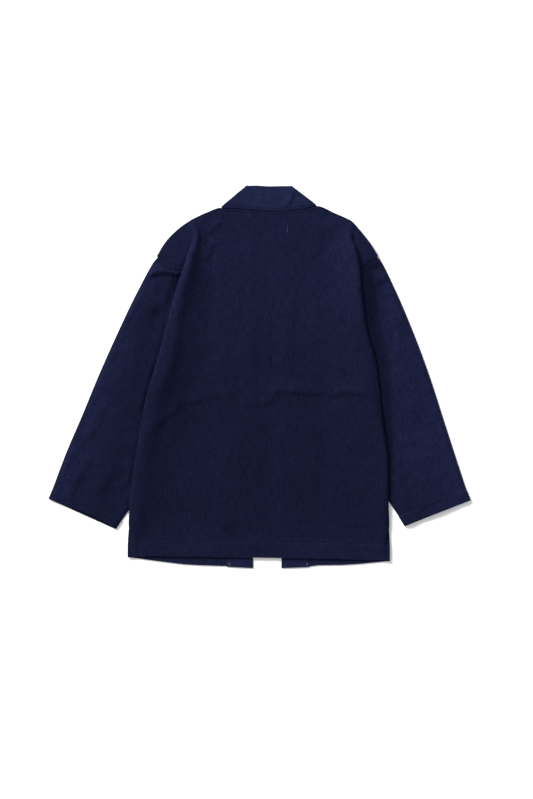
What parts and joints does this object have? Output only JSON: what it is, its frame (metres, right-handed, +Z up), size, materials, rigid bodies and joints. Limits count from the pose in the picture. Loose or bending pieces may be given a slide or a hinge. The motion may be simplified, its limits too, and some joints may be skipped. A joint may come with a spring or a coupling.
{
  "type": "happi coat",
  "caption": "Plain woven cotton happi coat laid flat with its back up: doubled neck band, straight body with a turned hem, wide sleeves turned down beside it.",
  "frame": {"origin": "middle of the laid-out coat in plan, on the surface it lies on", "axes": "+Z up out of the surface, towards the coat's back panel; +Y towards the neck; +X towards the wearer's right sleeve"},
  "size_m": [0.8946, 0.8116, 0.0174],
  "materials": {
    "indigo_cotton": "matt slub weave"
  },
  "bodies": {
    "root": {"back_panel": "indigo_cotton", "front_left": "indigo_cotton", "front_right": "indigo_cotton", "sleeve_left": "indigo_cotton", "sleeve_right": "indigo_cotton", "neck_band": "indigo_cotton"}
  },
  "joints": []
}
